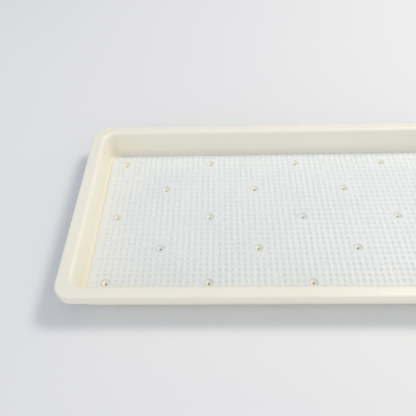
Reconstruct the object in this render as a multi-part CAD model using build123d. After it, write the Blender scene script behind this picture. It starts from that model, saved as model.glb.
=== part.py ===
"""Propagation tray with a lift-out waffle mat, in millimetres.

The tray is one thin moulding: a flat bottom on a low foot ring, drafted walls, a flat rim that turns
down into a skirt, and short hollow drain posts. The posts stand up through round eyes in the mat and
keep it in place. The origin is at the centre of the underside, +X runs along the length, +Z is up.
"""

from build123d import *

import os

# Drain posts: a staggered grid, five rows deep, every other row moved half a pitch
POST_PITCH_X = 80.0
POST_PITCH_Y = 32.0
LONG_ROW_POSTS = 5
POST_ROWS = 5
POST_RADIUS = 3.1
POST_HEIGHT = 1.3
DRAIN_RADIUS = 0.8
DRAIN_MOUTH_RADIUS = 2.7
DRAIN_MOUTH_DEPTH = 1.6

# Tray
HEIGHT = 30.0
FOOT_HEIGHT = 1.5
FOOT_WIDTH = 4.0
FLOOR_THICKNESS = 1.4
WALL_THICKNESS = 1.8
INNER_LENGTH = 354.0
INNER_DEPTH = 159.5
INNER_CORNER_RADIUS = 9.0
WALL_DRAFT = 1.5
FLOOR_FILLET = 4.5
UNDERSIDE_FILLET = 3.6

# Rim and skirt
RIM_LENGTH = 378.0
RIM_DEPTH = 180.0
RIM_CORNER_RADIUS = 12.0
RIM_THICKNESS = 2.0
SKIRT_HEIGHT = 9.0
SKIRT_THICKNESS = 1.8
LIP_FILLET = 2.8
RIM_EDGE_FILLET = 1.6
SKIRT_EDGE_FILLET = 0.5

# Mat
CELL = 5.0
RIB_WIDTH = 2.2
BASE_THICKNESS = 0.9
CROSS_SLOT_DEPTH = 0.3
LONG_RIB_HEIGHT = 0.6
CELLS_LONG = 68
CELLS_DEEP = 30
BASE_LENGTH = 346.6
BASE_DEPTH = 151.8
BASE_CORNER_RADIUS = 6.0
END_STRIP_WIDTH = 5.3
EDGE_STUB_LENGTH = 1.5
EYE_RADIUS = 3.3
EYE_RING_RADIUS = 5.5
SMALLEST_SLOT_AREA = 1.5

# Fits
MAT_SEAT_GAP = 0.1
OVERSHOOT = 5.0

FLOOR_TOP = FOOT_HEIGHT + FLOOR_THICKNESS
POST_TOP = FLOOR_TOP + POST_HEIGHT
MAT_BOTTOM = FLOOR_TOP + MAT_SEAT_GAP
BASE_TOP = MAT_BOTTOM + BASE_THICKNESS
SLOT_WIDTH = CELL - RIB_WIDTH


def post_centres():
    """The centres of the staggered drain posts, row by row."""
    centres = []
    for row in range(POST_ROWS):
        count = LONG_ROW_POSTS - row % 2
        y = (row - (POST_ROWS - 1) / 2) * POST_PITCH_Y
        for column in range(count):
            x = (column - (count - 1) / 2) * POST_PITCH_X
            centres.append((x, y))
    return centres


def rounded_block(length, depth, radius, bottom, height, draft=0.0):
    """A block with round upright corners that grows outwards by the draft angle as it rises."""
    outline = RectangleRounded(length, depth, radius)
    return Pos(0, 0, bottom) * extrude(outline, amount=height, taper=-draft)


def flat_edges(shape, height):
    """The edges of a shape that lie in the level plane at this height."""
    return shape.edges().filter_by_position(Axis.Z, height - 0.01, height + 0.01)


def make_basin():
    """The solid form of the walls and bottom, before the inside is taken out."""
    basin = rounded_block(
        INNER_LENGTH + 2 * WALL_THICKNESS,
        INNER_DEPTH + 2 * WALL_THICKNESS,
        INNER_CORNER_RADIUS + WALL_THICKNESS,
        0,
        HEIGHT - RIM_THICKNESS / 2,
        WALL_DRAFT,
    )
    return fillet(flat_edges(basin, 0), UNDERSIDE_FILLET)


def make_foot_recess():
    """The shallow space under the bottom, which leaves a foot ring all round and lets drips run away."""
    inset = UNDERSIDE_FILLET + FOOT_WIDTH - WALL_THICKNESS
    return rounded_block(
        INNER_LENGTH - 2 * inset,
        INNER_DEPTH - 2 * inset,
        INNER_CORNER_RADIUS - inset,
        -OVERSHOOT,
        OVERSHOOT + FOOT_HEIGHT,
    )


def make_inside():
    """The space inside the tray, rounded where the walls meet the bottom."""
    inside = rounded_block(
        INNER_LENGTH,
        INNER_DEPTH,
        INNER_CORNER_RADIUS,
        FLOOR_TOP,
        HEIGHT + OVERSHOOT,
        WALL_DRAFT,
    )
    return fillet(flat_edges(inside, FLOOR_TOP), FLOOR_FILLET)


def make_rim():
    """The flat rim with its skirt turned down all round, open underneath."""
    block = rounded_block(
        RIM_LENGTH, RIM_DEPTH, RIM_CORNER_RADIUS, HEIGHT - SKIRT_HEIGHT, SKIRT_HEIGHT
    )
    block = fillet(flat_edges(block, HEIGHT), RIM_EDGE_FILLET)
    channel = rounded_block(
        RIM_LENGTH - 2 * SKIRT_THICKNESS,
        RIM_DEPTH - 2 * SKIRT_THICKNESS,
        RIM_CORNER_RADIUS - SKIRT_THICKNESS,
        HEIGHT - SKIRT_HEIGHT - OVERSHOOT,
        SKIRT_HEIGHT + OVERSHOOT - RIM_THICKNESS,
    )
    rim = block - channel
    return fillet(flat_edges(rim, HEIGHT - SKIRT_HEIGHT), SKIRT_EDGE_FILLET)


def make_posts():
    """The drain posts, standing on the bottom of the tray."""
    posts = []
    for x, y in post_centres():
        post = Cylinder(
            POST_RADIUS,
            POST_HEIGHT + FLOOR_THICKNESS / 2,
            align=(Align.CENTER, Align.CENTER, Align.MAX),
        )
        posts.append(Pos(x, y, POST_TOP) * post)
    return posts


def make_drains():
    """The drain bores: a funnel mouth at the top of each post and a bore down through the bottom."""
    drains = []
    for x, y in post_centres():
        bore = Pos(x, y, POST_TOP / 2) * Cylinder(DRAIN_RADIUS, POST_TOP + OVERSHOOT)
        mouth = Pos(x, y, POST_TOP - DRAIN_MOUTH_DEPTH) * Cone(
            DRAIN_RADIUS,
            DRAIN_MOUTH_RADIUS,
            DRAIN_MOUTH_DEPTH,
            align=(Align.CENTER, Align.CENTER, Align.MIN),
        )
        drains.append(bore)
        drains.append(mouth)
    return drains


def make_tray():
    """The whole tray moulding."""
    shell = make_basin() + make_rim() - make_inside() - make_foot_recess()
    lip = [
        edge
        for edge in flat_edges(shell, HEIGHT)
        if abs(edge.center().Y) < INNER_DEPTH / 2 + LIP_FILLET
        and abs(edge.center().X) < INNER_LENGTH / 2 + LIP_FILLET
    ]
    shell = fillet(lip, LIP_FILLET)
    return (shell + make_posts()) - make_drains()


def slot_positions(count):
    """The middles of the slots between neighbouring ribs, when there are this many slots."""
    return [(i - (count - 1) / 2) * CELL for i in range(count)]


def trimmed_slot(slot):
    """The wires left of one slot, where the plain rings round the eyes interrupt it."""
    rings = [Pos(x, y) * Circle(EYE_RING_RADIUS) for x, y in post_centres()]
    left = slot - rings
    return [face.outer_wire() for face in left.faces() if face.area > SMALLEST_SLOT_AREA]


def cross_slots():
    """The slots between the cross ribs, which run along Y."""
    wires = []
    for x in slot_positions(CELLS_LONG):
        is_end_slot = abs(x) > (CELLS_LONG - 1.5) / 2 * CELL
        length = CELLS_DEEP * CELL - RIB_WIDTH - (2 * CELL if is_end_slot else 0)
        wires.extend(trimmed_slot(Pos(x, 0) * Rectangle(SLOT_WIDTH, length)))
    return wires


def long_slots():
    """The slots between the long ribs, which run along X."""
    wires = []
    for y in slot_positions(CELLS_DEEP):
        is_edge_slot = abs(y) > (CELLS_DEEP - 1.5) / 2 * CELL
        length = CELLS_LONG * CELL - RIB_WIDTH - (2 * CELL if is_edge_slot else 0)
        wires.extend(trimmed_slot(Pos(0, y) * Rectangle(length, SLOT_WIDTH)))
    return wires


def eye_wires():
    """The round eyes that the posts stand in."""
    return [(Pos(x, y) * Circle(EYE_RADIUS)).face().outer_wire() for x, y in post_centres()]


def stub_line(first_x, edge_rib):
    """One long side of the outline: the edge rib with a stub of every cross rib standing out of it."""
    stub_end = edge_rib + EDGE_STUB_LENGTH
    points = []
    for i in range(CELLS_LONG - 1):
        x = first_x + i * CELL
        points.append((x, edge_rib))
        points.append((x, stub_end))
        points.append((x + RIB_WIDTH, stub_end))
        points.append((x + RIB_WIDTH, edge_rib))
    return Polyline(*points)


def make_rib_outline():
    """The outer edge of the top ribs: plain strips at the ends, rib stubs along both long sides."""
    stub_x = CELLS_LONG * CELL / 2 - CELL + RIB_WIDTH / 2
    edge_rib = CELLS_DEEP * CELL / 2 + RIB_WIDTH / 2
    half_length = CELLS_LONG * CELL / 2 - RIB_WIDTH / 2 + END_STRIP_WIDTH
    radius = half_length - stub_x
    corner_y = edge_rib - radius
    edges = stub_line(-stub_x, edge_rib).edges()
    edges += CenterArc((stub_x, corner_y), radius, 0, 90).edges()
    edges += Line((half_length, corner_y), (half_length, -corner_y)).edges()
    edges += CenterArc((stub_x, -corner_y), radius, 270, 90).edges()
    edges += [edge.rotate(Axis.Z, 180) for edge in edges]
    return Wire(edges)


def make_mat_base():
    """The closed sheet of the mat, with shallow slots across its upper face and the eyes through it."""
    outline = RectangleRounded(BASE_LENGTH, BASE_DEPTH, BASE_CORNER_RADIUS).face().outer_wire()
    sheet = Pos(0, 0, MAT_BOTTOM) * extrude(
        Face(outline, eye_wires()), amount=BASE_THICKNESS, dir=(0, 0, 1)
    )
    slots = [
        Pos(0, 0, BASE_TOP - CROSS_SLOT_DEPTH) * extrude(Face(wire), amount=OVERSHOOT, dir=(0, 0, 1))
        for wire in cross_slots()
    ]
    return sheet - slots


def make_mat_ribs():
    """The layer of long ribs on top of the sheet, with its outer edge and the rings round the eyes."""
    ribs = Face(make_rib_outline(), long_slots() + eye_wires())
    return Pos(0, 0, BASE_TOP) * extrude(ribs, amount=LONG_RIB_HEIGHT, dir=(0, 0, 1))


def make_waffle_mat():
    """The mat: long ribs on a sheet that is slotted across, which together make square pockets."""
    return Compound(children=[make_mat_base(), make_mat_ribs()])


def main():
    os.makedirs("parts", exist_ok=True)
    export_step(make_tray(), "parts/tray.step")
    export_step(make_waffle_mat(), "parts/waffle_mat.step")


main()
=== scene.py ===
"""The looks of the propagation tray: a cream moulded tray with a loose white waffle mat in it.

Everything is in metres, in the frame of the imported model. Small sizes are written in
millimetres times MM. The tray is a set of rings round a rounded rectangle, joined into one
closed shell; the mat's top is a field of tiles, one to each square pocket, joined at their edges.
"""

import math

import bmesh
import bpy
from mathutils import Matrix, Vector


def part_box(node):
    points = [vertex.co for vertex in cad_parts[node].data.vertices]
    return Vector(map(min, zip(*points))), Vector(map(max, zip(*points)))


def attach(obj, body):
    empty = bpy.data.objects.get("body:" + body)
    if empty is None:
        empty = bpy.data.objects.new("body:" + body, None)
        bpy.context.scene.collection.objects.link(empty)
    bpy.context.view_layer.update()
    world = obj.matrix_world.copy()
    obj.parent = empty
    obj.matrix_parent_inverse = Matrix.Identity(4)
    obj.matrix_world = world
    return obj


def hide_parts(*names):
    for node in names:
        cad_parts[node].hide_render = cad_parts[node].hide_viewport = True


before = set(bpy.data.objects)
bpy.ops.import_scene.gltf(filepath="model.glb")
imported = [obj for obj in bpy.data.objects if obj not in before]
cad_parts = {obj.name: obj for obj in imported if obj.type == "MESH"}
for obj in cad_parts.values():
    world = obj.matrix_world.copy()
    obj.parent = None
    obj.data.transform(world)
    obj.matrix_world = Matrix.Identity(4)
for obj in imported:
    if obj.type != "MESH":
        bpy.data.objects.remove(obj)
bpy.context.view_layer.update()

MM = 0.001
TRAY_LOW, TRAY_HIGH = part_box("tray")
MAT_LOW, MAT_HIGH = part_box("waffle_mat")

# Tray sizes
RIM_HALF_X = TRAY_HIGH.x
RIM_HALF_Y = TRAY_HIGH.y
HEIGHT = TRAY_HIGH.z
RIM_CORNER = 12.0 * MM
RIM_THICKNESS = 2.0 * MM
RIM_EDGE = 1.6 * MM
SKIRT_HEIGHT = 9.0 * MM
SKIRT_THICKNESS = 1.8 * MM
SKIRT_EDGE = 0.5 * MM
INNER_HALF_X = RIM_HALF_X - 12.0 * MM
INNER_HALF_Y = RIM_HALF_Y - 10.25 * MM
INNER_CORNER = 9.0 * MM
WALL_THICKNESS = 1.8 * MM
WALL_DRAFT = math.radians(1.5)
FOOT_HEIGHT = 1.5 * MM
FOOT_WIDTH = 4.0 * MM
FLOOR_TOP = FOOT_HEIGHT + 1.4 * MM
FLOOR_FILLET = 4.5 * MM
UNDERSIDE_FILLET = 3.6 * MM
LIP_FILLET = 2.8 * MM
RIM_SAG = 0.12 * MM
SIDE_BOW = 0.35 * MM

# Drain posts
POST_PITCH_X = 80.0 * MM
POST_PITCH_Y = 32.0 * MM
POST_ROWS = 5
LONG_ROW_POSTS = 5
POST_RADIUS = 3.1 * MM
POST_TOP = FLOOR_TOP + 1.3 * MM
POST_EDGE = 0.2 * MM
MOUTH_RADIUS = 2.7 * MM
MOUTH_DEPTH = 1.6 * MM
DRAIN_RADIUS = 0.8 * MM
POST_SEGMENTS = 32

# Mat
CELL = 5.0 * MM
RIB_HALF = 1.1 * MM
POCKET_DEPTH = 0.6 * MM
CELLS_LONG = 68
CELLS_DEEP = 30
BASE_HALF_X = 173.3 * MM
BASE_HALF_Y = 75.9 * MM
BASE_TOP = MAT_LOW.z + 0.9 * MM
EYE_RADIUS = 3.3 * MM
EYE_RING_RADIUS = 5.5 * MM
EYE_EDGE = 0.25 * MM
EYE_SEGMENTS = 32
POCKET_ROUNDING = 0.5
PLAIN_TILE_REACH = 6.1 * MM

# How finely rings are divided
LONG_SIDE_STEPS = 40
SHORT_SIDE_STEPS = 18
CORNER_STEPS = 12
ARC_STEPS = 6


# ---------------------------------------------------------------- helpers

def post_centres():
    """The staggered drain posts, which are also the places of the mesh's eyes."""
    centres = []
    for row in range(POST_ROWS):
        count = LONG_ROW_POSTS - row % 2
        y = (row - (POST_ROWS - 1) / 2) * POST_PITCH_Y
        for column in range(count):
            centres.append(((column - (count - 1) / 2) * POST_PITCH_X, y))
    return centres


def arc(start, end, steps=ARC_STEPS):
    """Angles from start to end in degrees, as radians."""
    return [math.radians(start + (end - start) * i / steps) for i in range(steps + 1)]


def smooth_object(name, bm):
    """Turns a bmesh into a smooth-shaded object whose flat faces stay flat."""
    bmesh.ops.recalc_face_normals(bm, faces=bm.faces)
    mesh = bpy.data.meshes.new(name)
    bm.to_mesh(mesh)
    bm.free()
    mesh.shade_smooth()
    obj = bpy.data.objects.new(name, mesh)
    bpy.context.scene.collection.objects.link(obj)
    return obj


def weighted_normals(obj):
    """Keeps large flat faces flat where they meet small rounded ones."""
    modifier = obj.modifiers.new("weighted_normals", "WEIGHTED_NORMAL")
    modifier.weight = 100
    modifier.keep_sharp = True


def join_rings(bm, first, second):
    """Joins two rings with the same number of points by four-sided faces."""
    count = len(first)
    for i in range(count):
        j = (i + 1) % count
        bm.faces.new((first[i], first[j], second[j], second[i]))


def ring_edges(bm, ring):
    """The edges between neighbours of a ring, made where they are missing."""
    edges = []
    for i, vert in enumerate(ring):
        after = ring[(i + 1) % len(ring)]
        edges.append(bm.edges.get((vert, after)) or bm.edges.new((vert, after)))
    return edges


def fill_between(bm, outer, holes):
    """A flat face inside the outer ring, with the holes left open."""
    edges = ring_edges(bm, outer)
    for ring in holes:
        edges += ring_edges(bm, ring)
    bmesh.ops.triangle_fill(bm, edges=edges, use_beauty=True, use_dissolve=False)


# ---------------------------------------------------------------- tray

def inner_station(offset, z):
    """A ring a set distance outside the foot of the inner wall: half sizes, corner radius, height."""
    return (INNER_HALF_X + offset, INNER_HALF_Y + offset, INNER_CORNER + offset, z)


def rim_station(offset, z):
    """A ring a set distance inside the outer face of the skirt."""
    return (RIM_HALF_X - offset, RIM_HALF_Y - offset, RIM_CORNER - offset, z)


def between(first, second, share):
    """A ring part of the way from one ring to another."""
    return tuple(a + (b - a) * share for a, b in zip(first, second))


def drafted(z):
    """How far the wall has leaned out at this height."""
    return (z - FLOOR_TOP) * math.tan(WALL_DRAFT)


def inner_wall_stations():
    """From the edge of the bottom up the inner wall to the flat of the rim."""
    stations = []
    for t in arc(0, 90, 12):
        z = FLOOR_TOP + FLOOR_FILLET * (1 - math.cos(t))
        stations.append(inner_station(FLOOR_FILLET * (math.sin(t) - 1) + drafted(z), z))
    wall_top = HEIGHT - LIP_FILLET
    wall_foot = FLOOR_TOP + FLOOR_FILLET
    for step in range(1, 5):
        z = wall_foot + (wall_top - wall_foot) * step / 5
        stations.append(inner_station(drafted(z), z))
    for t in arc(0, 90, 8):
        offset = drafted(wall_top) + LIP_FILLET * (1 - math.cos(t))
        stations.append(inner_station(offset, wall_top + LIP_FILLET * math.sin(t)))
    return stations


def skirt_stations():
    """From the flat of the rim over its outer edge, down the skirt and back up inside it."""
    bottom = HEIGHT - SKIRT_HEIGHT
    stations = []
    for t in arc(0, 90):
        z = HEIGHT - RIM_EDGE * (1 - math.cos(t))
        stations.append(rim_station(RIM_EDGE * (1 - math.sin(t)), z))
    stations.append(rim_station(0, bottom + SKIRT_HEIGHT / 2))
    for t in arc(0, 90, 3):
        z = bottom + SKIRT_EDGE * (1 - math.sin(t))
        stations.append(rim_station(SKIRT_EDGE * (1 - math.cos(t)), z))
    for t in arc(90, 0, 3):
        z = bottom + SKIRT_EDGE * (1 - math.sin(t))
        offset = SKIRT_THICKNESS - SKIRT_EDGE * (1 - math.cos(t))
        stations.append(rim_station(offset, z))
    ceiling = HEIGHT - RIM_THICKNESS
    for t in arc(0, 90, 3):
        z = ceiling - SKIRT_EDGE * (1 - math.sin(t))
        stations.append(rim_station(SKIRT_THICKNESS + SKIRT_EDGE * (1 - math.cos(t)), z))
    return stations


def outer_wall_stations():
    """From under the rim down the outer wall and round onto the underside."""
    ceiling = HEIGHT - RIM_THICKNESS
    stations = []
    for z in (ceiling, ceiling - SKIRT_EDGE, HEIGHT / 2, UNDERSIDE_FILLET):
        stations.append(inner_station(WALL_THICKNESS + drafted(z), z))
    for t in arc(0, 90, 8)[1:]:
        z = UNDERSIDE_FILLET * (1 - math.sin(t))
        offset = WALL_THICKNESS + drafted(z) - UNDERSIDE_FILLET * (1 - math.cos(t))
        stations.append(inner_station(offset, z))
    foot_edge = WALL_THICKNESS - UNDERSIDE_FILLET - FOOT_WIDTH
    stations.append(inner_station(foot_edge, 0))
    stations.append(inner_station(foot_edge, FOOT_HEIGHT))
    stations.append(inner_station(foot_edge - 0.2 * MM, FOOT_HEIGHT))
    return stations


def tray_stations():
    """Every ring of the tray's section, from the inside of the bottom round to the underside."""
    inside = inner_wall_stations()
    outside = skirt_stations()
    rim = [between(inside[-1], outside[0], share) for share in (0.08, 0.5, 0.92)]
    return inside + rim + outside + outer_wall_stations()


def ring_points(half_x, half_y, radius, z):
    """The points of one rounded rectangle, anticlockwise from the middle of its right-hand end."""
    corners = [(1, 1, 0), (-1, 1, 90), (-1, -1, 180), (1, -1, 270)]
    steps = [LONG_SIDE_STEPS, SHORT_SIDE_STEPS]
    points = []
    for number, (sx, sy, start) in enumerate(corners):
        centre = Vector((sx * (half_x - radius), sy * (half_y - radius), z))
        for t in arc(start, start + 90, CORNER_STEPS):
            points.append(centre + radius * Vector((math.cos(t), math.sin(t), 0)))
        nx, ny, after = corners[(number + 1) % 4]
        turn = math.radians(after)
        target = Vector((nx * (half_x - radius), ny * (half_y - radius), z))
        target += radius * Vector((math.cos(turn), math.sin(turn), 0))
        begin = points[-1]
        count = steps[number % 2]
        for i in range(1, count):
            points.append(begin.lerp(target, i / count))
    return points


def relax(point):
    """The slight slackness of a thin moulding: long sides bow in, and the rim sags between corners."""
    share_x = 1 - (point.x / RIM_HALF_X) ** 2
    share_y = 1 - (point.y / RIM_HALF_Y) ** 2
    lift = max(0.0, point.z / HEIGHT) ** 2
    wall_y = max(0.0, abs(point.y) - INNER_HALF_Y / 2) / RIM_HALF_Y
    wall_x = max(0.0, abs(point.x) - INNER_HALF_X * 0.9) / RIM_HALF_X
    point.y -= math.copysign(SIDE_BOW * share_x * lift * min(1.0, 2 * wall_y), point.y)
    point.x -= math.copysign(SIDE_BOW * share_y * lift * min(1.0, 6 * wall_x) / 2, point.x)
    point.z -= RIM_SAG * lift * share_x * share_y
    return point


def post_section():
    """Radius and height pairs from the foot of a post over its top and down its drain."""
    section = [(POST_RADIUS + POST_EDGE, FLOOR_TOP)]
    section.append((POST_RADIUS + POST_EDGE / 4, FLOOR_TOP + POST_EDGE / 3))
    section.append((POST_RADIUS, FLOOR_TOP + POST_EDGE))
    for t in arc(0, 90, 4):
        radius = POST_RADIUS - POST_EDGE * (1 - math.cos(t))
        section.append((radius, POST_TOP - POST_EDGE * (1 - math.sin(t))))
    section.append((MOUTH_RADIUS, POST_TOP - 0.02 * MM))
    for step in range(1, 5):
        share = step / 5
        bend = math.sin(share * math.pi / 2)
        radius = MOUTH_RADIUS + (DRAIN_RADIUS - MOUTH_RADIUS) * share
        section.append((radius, POST_TOP - MOUTH_DEPTH * (0.35 * share + 0.65 * (1 - bend) * share)
                        - MOUTH_DEPTH * 0.65 * share * bend))
    section.append((DRAIN_RADIUS, POST_TOP - MOUTH_DEPTH))
    section.append((DRAIN_RADIUS, FOOT_HEIGHT + 0.15 * MM))
    section.append((DRAIN_RADIUS + 0.15 * MM, FOOT_HEIGHT))
    return section


def circle_ring(bm, centre, radius, z, segments):
    """A level ring of points round a centre."""
    ring = []
    for i in range(segments):
        t = 2 * math.pi * i / segments
        ring.append(bm.verts.new((centre[0] + radius * math.cos(t), centre[1] + radius * math.sin(t), z)))
    return ring


def add_post(bm, centre):
    """One hollow drain post. Gives back its ring in the bottom's upper face and the one underneath."""
    rings = [circle_ring(bm, centre, r, z, POST_SEGMENTS) for r, z in post_section()]
    for first, second in zip(rings, rings[1:]):
        join_rings(bm, first, second)
    return rings[0], rings[-1]


def make_tray(material):
    """The cream moulding."""
    bm = bmesh.new()
    rings = []
    for station in tray_stations():
        rings.append([bm.verts.new(relax(p)) for p in ring_points(*station)])
    for first, second in zip(rings, rings[1:]):
        join_rings(bm, first, second)
    posts = [add_post(bm, centre) for centre in post_centres()]
    fill_between(bm, rings[0], [top for top, _ in posts])
    fill_between(bm, rings[-1], [bottom for _, bottom in posts])
    tray = smooth_object("tray_shell", bm)
    weighted_normals(tray)
    tray.data.materials.append(material)
    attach(tray, "tray_body")
    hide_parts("tray")
    return tray


# ---------------------------------------------------------------- mat

def pocket_section():
    """Distance from a rib's middle and height, from its crown down into the pocket beside it."""
    top = MAT_HIGH.z
    return [
        (0.45 * MM, top - 0.03 * POCKET_DEPTH),
        (0.80 * MM, top - 0.16 * POCKET_DEPTH),
        (1.05 * MM, top - 0.42 * POCKET_DEPTH),
        (1.25 * MM, top - 0.75 * POCKET_DEPTH),
        (1.50 * MM, top - 0.94 * POCKET_DEPTH),
        (1.95 * MM, top - POCKET_DEPTH),
    ]


class TileField:
    """The relief as tiles, one to each pocket, whose borders run along the middles of the ribs."""

    def __init__(self, bm):
        self.bm = bm
        self.shared = {}

    def border_vert(self, kx, ky):
        """The point at a half-pitch grid place, shared by the tiles that meet there."""
        key = (kx, ky)
        if key not in self.shared:
            place = (kx * CELL / 2, ky * CELL / 2, MAT_HIGH.z)
            self.shared[key] = self.bm.verts.new(place)
        return self.shared[key]

    def border(self, kx, ky):
        """The eight border points of the tile whose middle is at that half-pitch place."""
        around = [(1, 1), (0, 1), (-1, 1), (-1, 0), (-1, -1), (0, -1), (1, -1), (1, 0)]
        return [self.border_vert(kx + dx, ky + dy) for dx, dy in around]

    def pocket_ring(self, centre, inset, z, eye):
        """One ring of the pocket's wall, kept outside the plain ring of an eye."""
        half = CELL / 2 - inset
        diagonal = half * (1 - POCKET_ROUNDING * (1 - math.sqrt(0.5)))
        around = [
            (diagonal, diagonal), (0, half), (-diagonal, diagonal), (-half, 0),
            (-diagonal, -diagonal), (0, -half), (diagonal, -diagonal), (half, 0),
        ]
        ring = []
        for dx, dy in around:
            point = Vector((centre[0] + dx, centre[1] + dy))
            if eye:
                away = point - Vector(eye)
                least = EYE_RING_RADIUS + (CELL / 2 - half) * 0.2
                if away.length < least:
                    point = Vector(eye) + away.normalized() * least
            ring.append(self.bm.verts.new((point.x, point.y, z)))
        return ring

    def add_tile(self, kx, ky, eye):
        """One pocket with its share of the ribs round it."""
        centre = (kx * CELL / 2, ky * CELL / 2)
        rings = [self.border(kx, ky)]
        for inset, z in pocket_section():
            rings.append(self.pocket_ring(centre, inset, z, eye))
        for first, second in zip(rings, rings[1:]):
            join_rings(self.bm, first, second)
        self.bm.faces.new(rings[-1])


def nearest_eye(x, y):
    """The eye nearest to a point, and how far away it is."""
    eye = min(post_centres(), key=lambda c: (c[0] - x) ** 2 + (c[1] - y) ** 2)
    return eye, math.hypot(eye[0] - x, eye[1] - y)


def is_corner(i, j):
    """True for the four corner tiles, which are plain and rounded."""
    return i in (0, CELLS_LONG - 1) and j in (0, CELLS_DEEP - 1)


def add_tiles(bm):
    """Lays every pocket. Gives back the field and the tiles left out round each eye."""
    field = TileField(bm)
    left_out = {}
    for i in range(CELLS_LONG):
        for j in range(CELLS_DEEP):
            kx = 2 * i - (CELLS_LONG - 1)
            ky = 2 * j - (CELLS_DEEP - 1)
            if is_corner(i, j):
                continue
            eye, distance = nearest_eye(kx * CELL / 2, ky * CELL / 2)
            if distance < PLAIN_TILE_REACH:
                left_out.setdefault(eye, []).append((kx, ky))
            else:
                near = distance < EYE_RING_RADIUS + CELL
                field.add_tile(kx, ky, eye if near else None)
    return field, left_out


def region_border(field, tiles):
    """The ring of border points round a block of left-out tiles."""
    low_x = min(kx for kx, _ in tiles) - 1
    high_x = max(kx for kx, _ in tiles) + 1
    low_y = min(ky for _, ky in tiles) - 1
    high_y = max(ky for _, ky in tiles) + 1
    places = [(kx, low_y) for kx in range(low_x, high_x)]
    places += [(high_x, ky) for ky in range(low_y, high_y)]
    places += [(kx, high_y) for kx in range(high_x, low_x, -1)]
    places += [(low_x, ky) for ky in range(high_y, low_y, -1)]
    return [field.border_vert(kx, ky) for kx, ky in places]


def add_eye(bm, field, eye, tiles):
    """The plain ring round one eye and the eye's rounded wall. Gives back its lowest ring."""
    section = [(EYE_RADIUS + EYE_EDGE, MAT_HIGH.z)]
    for t in arc(90, 0, 4)[1:]:
        radius = EYE_RADIUS + EYE_EDGE * (1 - math.cos(t))
        section.append((radius, MAT_HIGH.z - EYE_EDGE * (1 - math.sin(t))))
    section.append((EYE_RADIUS, MAT_LOW.z))
    rings = [circle_ring(bm, eye, r, z, EYE_SEGMENTS) for r, z in section]
    for first, second in zip(rings, rings[1:]):
        join_rings(bm, first, second)
    fill_between(bm, region_border(field, tiles), [rings[0]])
    return rings[-1]


def edge_path(field):
    """The relief's outer border: its points, which way is out at each, and how wide the edge is there."""
    half_x = CELLS_LONG
    half_y = CELLS_DEEP
    end_width = MAT_HIGH.x - half_x * CELL / 2
    path = []
    corners = [(1, 1), (-1, 1), (-1, -1), (1, -1)]
    for number, (sx, sy) in enumerate(corners):
        centre = Vector((sx * (half_x - 2), sy * (half_y - 2))) * CELL / 2
        start = number * 90
        for t in arc(start, start + 90, 6):
            out = Vector((math.cos(t), math.sin(t)))
            width = RIB_HALF + (end_width - RIB_HALF) * out.x ** 2
            place = centre + out * CELL
            if abs(out.x) > 0.999 or abs(out.y) > 0.999:
                vert = field.border_vert(round(place.x / (CELL / 2)), round(place.y / (CELL / 2)))
            else:
                vert = field.bm.verts.new((place.x, place.y, MAT_HIGH.z))
            path.append((vert, out, width))
        if number % 2 == 0:
            for k in range(half_x - 3, -(half_x - 2), -1):
                path.append((field.border_vert(sx * k, sy * half_y), Vector((0, sy)), RIB_HALF))
        else:
            for k in range(half_y - 3, -(half_y - 2), -1):
                path.append((field.border_vert(sx * half_x, sy * k), Vector((sx, 0)), end_width))
    return path


def fill_corners(bm, field, path):
    """The plain quarter-round corner tiles."""
    for sx, sy in ((1, 1), (-1, 1), (-1, -1), (1, -1)):
        centre = Vector((sx * (CELLS_LONG - 2), sy * (CELLS_DEEP - 2))) * CELL / 2
        rim = []
        for vert, _, _ in path:
            away = Vector(vert.co.xy) - centre
            if away.x * sx > -1e-6 and away.y * sy > -1e-6 and away.length < CELL * 1.01:
                rim.append(vert)
        kx = sx * (CELLS_LONG - 2)
        ky = sy * (CELLS_DEEP - 2)
        ends_level = abs(rim[-1].co.y - centre.y) < 1e-6
        middles = [(kx + sx, ky), (kx, ky + sy)]
        if not ends_level:
            middles.reverse()
        inner = [field.border_vert(*middles[0]), field.border_vert(kx, ky), field.border_vert(*middles[1])]
        bm.faces.new(rim + inner)


def add_outer_edge(bm, field):
    """The rounded outer edge of the mat and its plain corners. Gives back its lowest ring."""
    path = edge_path(field)
    top = MAT_HIGH.z
    section = [
        (0.35 * MM, top - 0.02 * MM), (0.75 * MM, top - 0.12 * MM), (1.00 * MM, top - 0.32 * MM),
        (RIB_HALF, BASE_TOP), (RIB_HALF, None),
    ]
    rings = [[vert for vert, _, _ in path]]
    for inset, z in section:
        ring = []
        for vert, out, width in path:
            shift = width - RIB_HALF + inset
            place = Vector(vert.co.xy) + out * shift
            if z is None:
                place.x -= out.x * (MAT_HIGH.x - BASE_HALF_X)
                place.y -= out.y * (CELLS_DEEP * CELL / 2 + RIB_HALF - BASE_HALF_Y)
            ring.append(bm.verts.new((place.x, place.y, MAT_LOW.z if z is None else z)))
        rings.append(ring)
    for first, second in zip(rings, rings[1:]):
        join_rings(bm, first, second)
    fill_corners(bm, field, path)
    return rings[-1]


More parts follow.
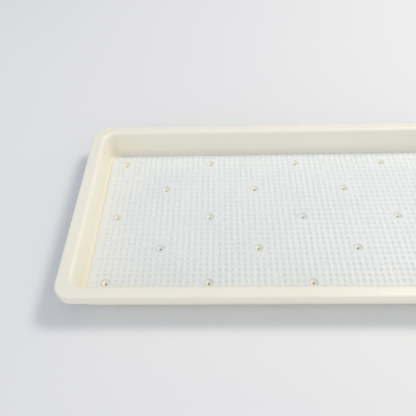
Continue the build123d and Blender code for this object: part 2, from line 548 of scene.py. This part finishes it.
def add_stub(bm, x, side):
    """The end of one cross rib, standing out past the edge rib."""
    start = CELLS_DEEP * CELL / 2 + 0.2 * MM
    end = MAT_HIGH.y
    top = MAT_HIGH.z
    half = [(0.45 * MM, top - 0.02 * MM), (0.85 * MM, top - 0.14 * MM), (1.08 * MM, top - 0.40 * MM),
            (1.08 * MM, BASE_TOP + 0.01 * MM)]
    outline = [(-dx, z) for dx, z in reversed(half)] + half
    middle = (top + BASE_TOP) / 2
    rings = []
    for y, shrink in ((start, 1.0), (end - 0.4 * MM, 1.0), (end - 0.1 * MM, 0.93), (end, 0.75)):
        ring = []
        for dx, z in outline:
            ring.append(bm.verts.new((x + dx * shrink, side * y, middle + (z - middle) * shrink)))
        rings.append(ring)
    for first, second in zip(rings, rings[1:]):
        join_rings(bm, first, second)
    bm.faces.new(rings[0])
    bm.faces.new(rings[-1])


def make_mat(material):
    """The white waffle mat."""
    bm = bmesh.new()
    field, left_out = add_tiles(bm)
    eye_feet = [add_eye(bm, field, eye, tiles) for eye, tiles in left_out.items()]
    outer_foot = add_outer_edge(bm, field)
    fill_between(bm, outer_foot, eye_feet)
    for i in range(1, CELLS_LONG):
        x = (i - CELLS_LONG / 2) * CELL
        add_stub(bm, x, 1)
        add_stub(bm, x, -1)
    mat = smooth_object("mat_sheet", bm)
    weighted_normals(mat)
    mat.data.materials.append(material)
    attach(mat, "mat_body")
    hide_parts("waffle_mat")
    return mat


# ---------------------------------------------------------------- materials

def new_material(name):
    """An empty node material with a Principled shader."""
    material = bpy.data.materials.new(name)
    material.use_nodes = True
    return material, material.node_tree, material.node_tree.nodes["Principled BSDF"]


def noise_node(tree, scale, detail=3.0, roughness=0.5):
    """Noise in the piece's own coordinates."""
    coordinates = tree.nodes.new("ShaderNodeTexCoord")
    noise = tree.nodes.new("ShaderNodeTexNoise")
    noise.inputs["Scale"].default_value = scale
    noise.inputs["Detail"].default_value = detail
    noise.inputs["Roughness"].default_value = roughness
    tree.links.new(coordinates.outputs["Object"], noise.inputs["Vector"])
    return noise


def ramp_node(tree, source, low, high, start=0.35, end=0.65):
    """A colour ramp between two colours, driven by the source."""
    ramp = tree.nodes.new("ShaderNodeValToRGB")
    ramp.color_ramp.elements[0].position = start
    ramp.color_ramp.elements[1].position = end
    ramp.color_ramp.elements[0].color = (*low, 1)
    ramp.color_ramp.elements[1].color = (*high, 1)
    tree.links.new(source, ramp.inputs["Fac"])
    return ramp


def range_node(tree, source, low, high):
    """Maps noise onto a range of values."""
    mapped = tree.nodes.new("ShaderNodeMapRange")
    mapped.inputs["From Min"].default_value = 0.3
    mapped.inputs["From Max"].default_value = 0.7
    mapped.inputs["To Min"].default_value = low
    mapped.inputs["To Max"].default_value = high
    tree.links.new(source, mapped.inputs["Value"])
    return mapped


def add_bump(tree, shader, height, strength, distance):
    """A bump from a height output."""
    bump = tree.nodes.new("ShaderNodeBump")
    bump.inputs["Strength"].default_value = strength
    bump.inputs["Distance"].default_value = distance
    tree.links.new(height, bump.inputs["Height"])
    tree.links.new(bump.outputs["Normal"], shader.inputs["Normal"])


def cream_plastic():
    """Cream polypropylene: a soft satin skin, faintly translucent, with slow tone changes."""
    material, tree, shader = new_material("cream_plastic")
    tone = noise_node(tree, 14.0, 2.0)
    colour = ramp_node(tree, tone.outputs["Fac"], (0.925, 0.885, 0.765), (0.940, 0.902, 0.785))
    tree.links.new(colour.outputs["Color"], shader.inputs["Base Color"])
    wear = noise_node(tree, 90.0, 4.0, 0.6)
    sheen = range_node(tree, wear.outputs["Fac"], 0.30, 0.40)
    tree.links.new(sheen.outputs["Result"], shader.inputs["Roughness"])
    skin = noise_node(tree, 1500.0, 2.0)
    add_bump(tree, shader, skin.outputs["Fac"], 0.10, 0.05 * MM)
    shader.inputs["IOR"].default_value = 1.49
    shader.inputs["Subsurface Weight"].default_value = 0.25
    shader.inputs["Subsurface Radius"].default_value = (1.0, 0.8, 0.45)
    shader.inputs["Subsurface Scale"].default_value = 2.5 * MM
    return material


def white_plastic():
    """Natural white polyethylene: milky and slightly cool."""
    material, tree, shader = new_material("white_plastic")
    tone = noise_node(tree, 22.0, 2.0)
    colour = ramp_node(tree, tone.outputs["Fac"], (0.84, 0.875, 0.86), (0.87, 0.90, 0.885))
    tree.links.new(colour.outputs["Color"], shader.inputs["Base Color"])
    wear = noise_node(tree, 300.0, 3.0)
    sheen = range_node(tree, wear.outputs["Fac"], 0.38, 0.50)
    tree.links.new(sheen.outputs["Result"], shader.inputs["Roughness"])
    skin = noise_node(tree, 2200.0, 2.0)
    add_bump(tree, shader, skin.outputs["Fac"], 0.12, 0.04 * MM)
    shader.inputs["IOR"].default_value = 1.50
    shader.inputs["Subsurface Weight"].default_value = 0.6
    shader.inputs["Subsurface Radius"].default_value = (1.0, 1.0, 1.0)
    shader.inputs["Subsurface Scale"].default_value = 2.0 * MM
    return material


def table_top():
    """The plain pale floor."""
    material, tree, shader = new_material("table_top")
    tone = noise_node(tree, 3.0, 2.0)
    colour = ramp_node(tree, tone.outputs["Fac"], (0.86, 0.86, 0.865), (0.87, 0.87, 0.872))
    tree.links.new(colour.outputs["Color"], shader.inputs["Base Color"])
    shader.inputs["Roughness"].default_value = 0.6
    shader.inputs["Specular IOR Level"].default_value = 0.25
    return material


# ---------------------------------------------------------------- stage

def make_floor():
    """A wide pale floor under the tray."""
    half = 3.0
    bm = bmesh.new()
    corners = [(-half, -half), (half, -half), (half, half), (-half, half)]
    bm.faces.new([bm.verts.new((x, y, TRAY_LOW.z)) for x, y in corners])
    floor = smooth_object("floor", bm)
    floor.data.materials.append(table_top())


def make_key_light():
    """A soft round light, high up behind the right-hand end."""
    light = bpy.data.lights.new("key", "AREA")
    light.shape = "DISK"
    light.size = 0.42
    light.energy = 9.8
    light.color = (1.0, 0.925, 0.83)
    direction = Vector((0.62, 0.27, 1.0)).normalized()
    lamp = bpy.data.objects.new("key", light)
    lamp.location = direction * 1.6
    lamp.rotation_euler = direction.to_track_quat("Z", "Y").to_euler()
    bpy.context.scene.collection.objects.link(lamp)


def make_world():
    """A pale surround: cooler on the left, warmer on the right, brighter at the near side."""
    world = bpy.data.worlds.new("studio")
    world.use_nodes = True
    tree = world.node_tree
    background = tree.nodes["Background"]
    coordinates = tree.nodes.new("ShaderNodeTexCoord")
    split = tree.nodes.new("ShaderNodeSeparateXYZ")
    tree.links.new(coordinates.outputs["Generated"], split.inputs["Vector"])
    across = tree.nodes.new("ShaderNodeMapRange")
    across.inputs["From Min"].default_value = -1.0
    ramp = tree.nodes.new("ShaderNodeValToRGB")
    ramp.color_ramp.elements[0].color = (0.75, 0.87, 1.03, 1)
    ramp.color_ramp.elements[1].color = (0.97, 0.92, 0.885, 1)
    tree.links.new(split.outputs["X"], across.inputs["Value"])
    tree.links.new(across.outputs["Result"], ramp.inputs["Fac"])
    tree.links.new(ramp.outputs["Color"], background.inputs["Color"])
    nearness = tree.nodes.new("ShaderNodeMapRange")
    nearness.inputs["From Min"].default_value = -1.0
    nearness.inputs["To Min"].default_value = 1.00
    nearness.inputs["To Max"].default_value = 0.42
    tree.links.new(split.outputs["Y"], nearness.inputs["Value"])
    tree.links.new(nearness.outputs["Result"], background.inputs["Strength"])
    bpy.context.scene.world = world


def make_camera():
    """The camera, above the near left part of the tray and looking down at it."""
    data = bpy.data.cameras.new("camera")
    data.sensor_width = 36.0
    data.lens = 37.6
    camera = bpy.data.objects.new("camera", data)
    camera.location = Vector((-69.8, -230.2, 298.5)) * MM
    elevation = math.radians(50.72)
    azimuth = math.radians(-2.8)
    roll = math.radians(-2.74)
    turn = Matrix.Rotation(-azimuth, 4, "Z")
    tilt = Matrix.Rotation(math.pi / 2 - elevation, 4, "X")
    lean = Matrix.Rotation(roll, 4, "Z")
    camera.rotation_euler = (turn @ tilt @ lean).to_euler()
    bpy.context.scene.collection.objects.link(camera)
    bpy.context.scene.camera = camera


def main():
    make_tray(cream_plastic())
    make_mat(white_plastic())
    make_floor()
    make_key_light()
    make_world()
    make_camera()
    bpy.context.scene.view_settings.view_transform = "Standard"


main()
